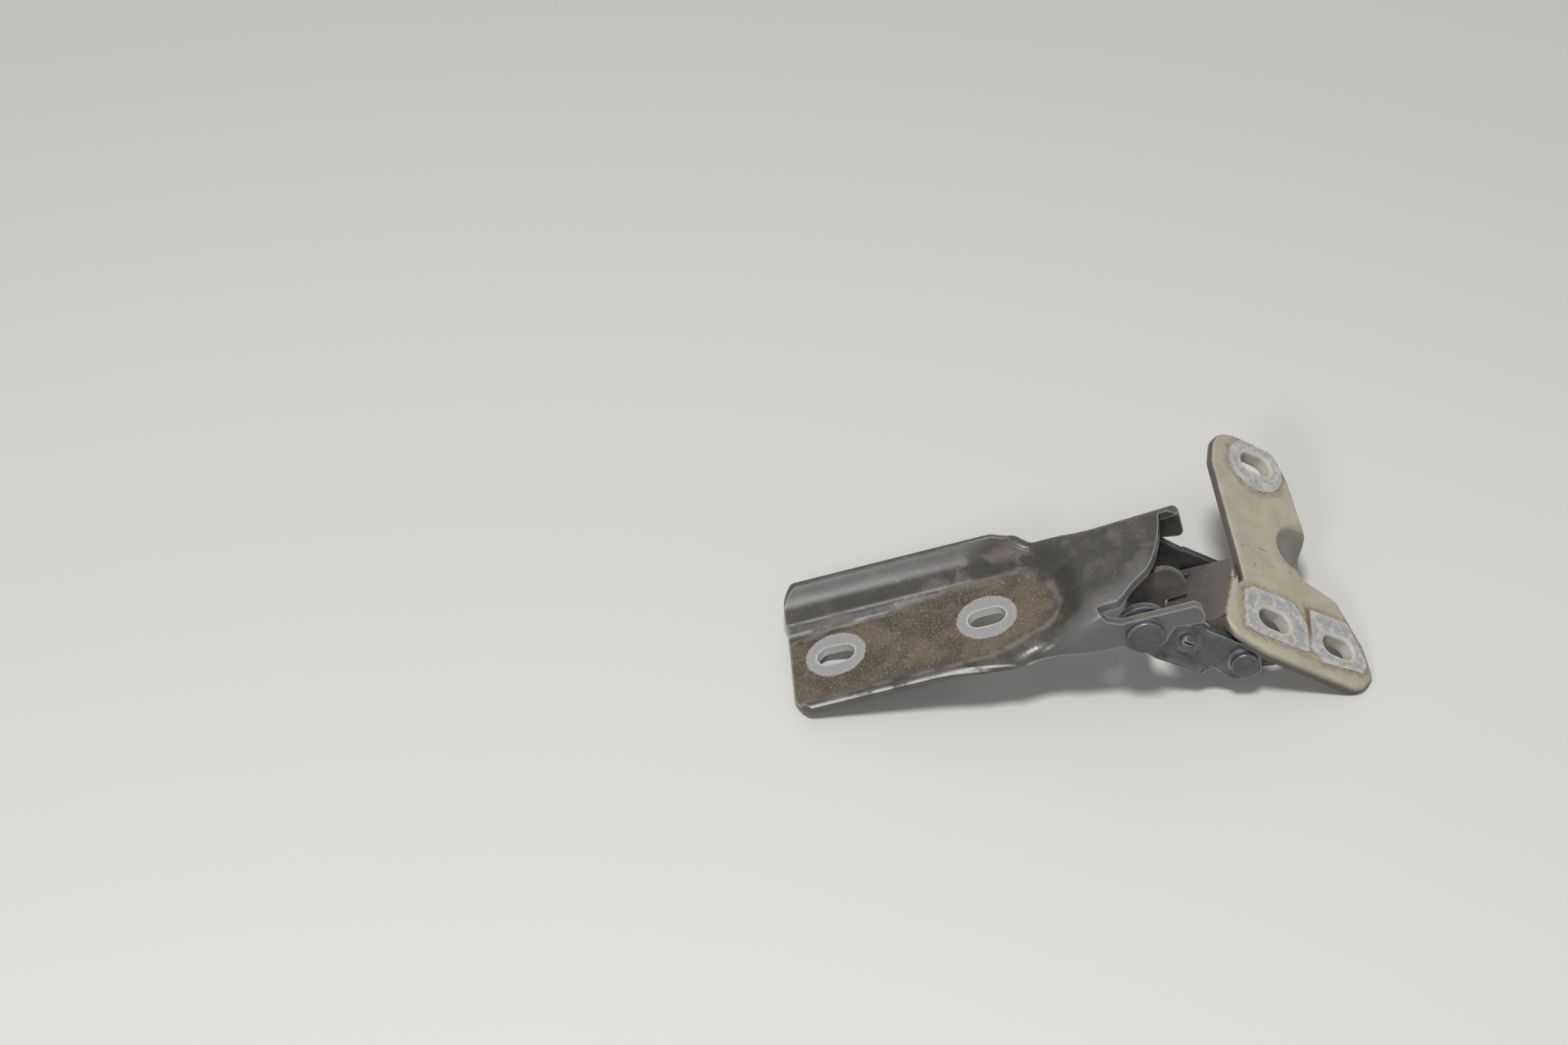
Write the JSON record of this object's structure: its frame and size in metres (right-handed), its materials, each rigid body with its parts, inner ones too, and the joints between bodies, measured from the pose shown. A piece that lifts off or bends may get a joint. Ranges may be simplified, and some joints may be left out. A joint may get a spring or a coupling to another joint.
{
  "type": "trunk lid hinge",
  "caption": "Riveted linkage hinge for a car's trunk lid: slotted body bracket with a curled channel and hood, near and far links, and a tilted lid bracket.",
  "frame": {"origin": "midway between the two floor slots, on the top face of the body bracket's floor", "axes": "+X along the row of slots toward the links, +Z out of the floor's top face, +Y away from the viewer toward the leaning wall"},
  "size_m": [0.2151, 0.1085, 0.081],
  "materials": {
    "dark_coat": "worn dark primer, satin, dusty on the floor",
    "lid_paint": "cream body paint, rubbed bare under the bolts",
    "link_coat": "blue grey phosphate, satin",
    "rivet_steel": "dull dark steel",
    "bush_bronze": "grey coated bronze",
    "washer_steel": "dull zinc"
  },
  "bodies": {
    "body": {"body_bracket": "dark_coat", "pin_a": "rivet_steel", "washer_a": "washer_steel", "pin_c": "rivet_steel", "washer_c": "washer_steel"},
    "control": {"control_link": "link_coat", "bush_a": "bush_bronze", "bush_b": "bush_bronze"},
    "lid": {"lid_bracket": "lid_paint", "pin_b": "rivet_steel", "washer_b": "washer_steel", "pin_d": "rivet_steel", "washer_d": "washer_steel", "spacer_d": "washer_steel"},
    "bar": {"far_link": "link_coat", "bush_c": "bush_bronze"}
  },
  "joints": [
    {"name": "control_pivot", "type": "hinge", "parent": "body", "child": "control", "pos_m": [0.0875, 0, -0.0053], "axis": [0, -1, 0], "range_deg": [-60, 21]},
    {"name": "lid_pivot", "type": "hinge", "parent": "control", "child": "lid", "pos_m": [0.121, 0, -0.0343], "axis": [0, -1, 0], "range_deg": [-0.9, 2.54]},
    {"name": "bar_pivot", "type": "hinge", "parent": "body", "child": "bar", "pos_m": [0.085, 0, -0.0015], "axis": [0, -1, 0], "range_deg": [-53.84, 18.86]}
  ],
  "couplings": [
    {"joint": "lid_pivot", "follows": "control_pivot", "ratio": -0.042},
    {"joint": "bar_pivot", "follows": "control_pivot", "ratio": 0.897}
  ]
}
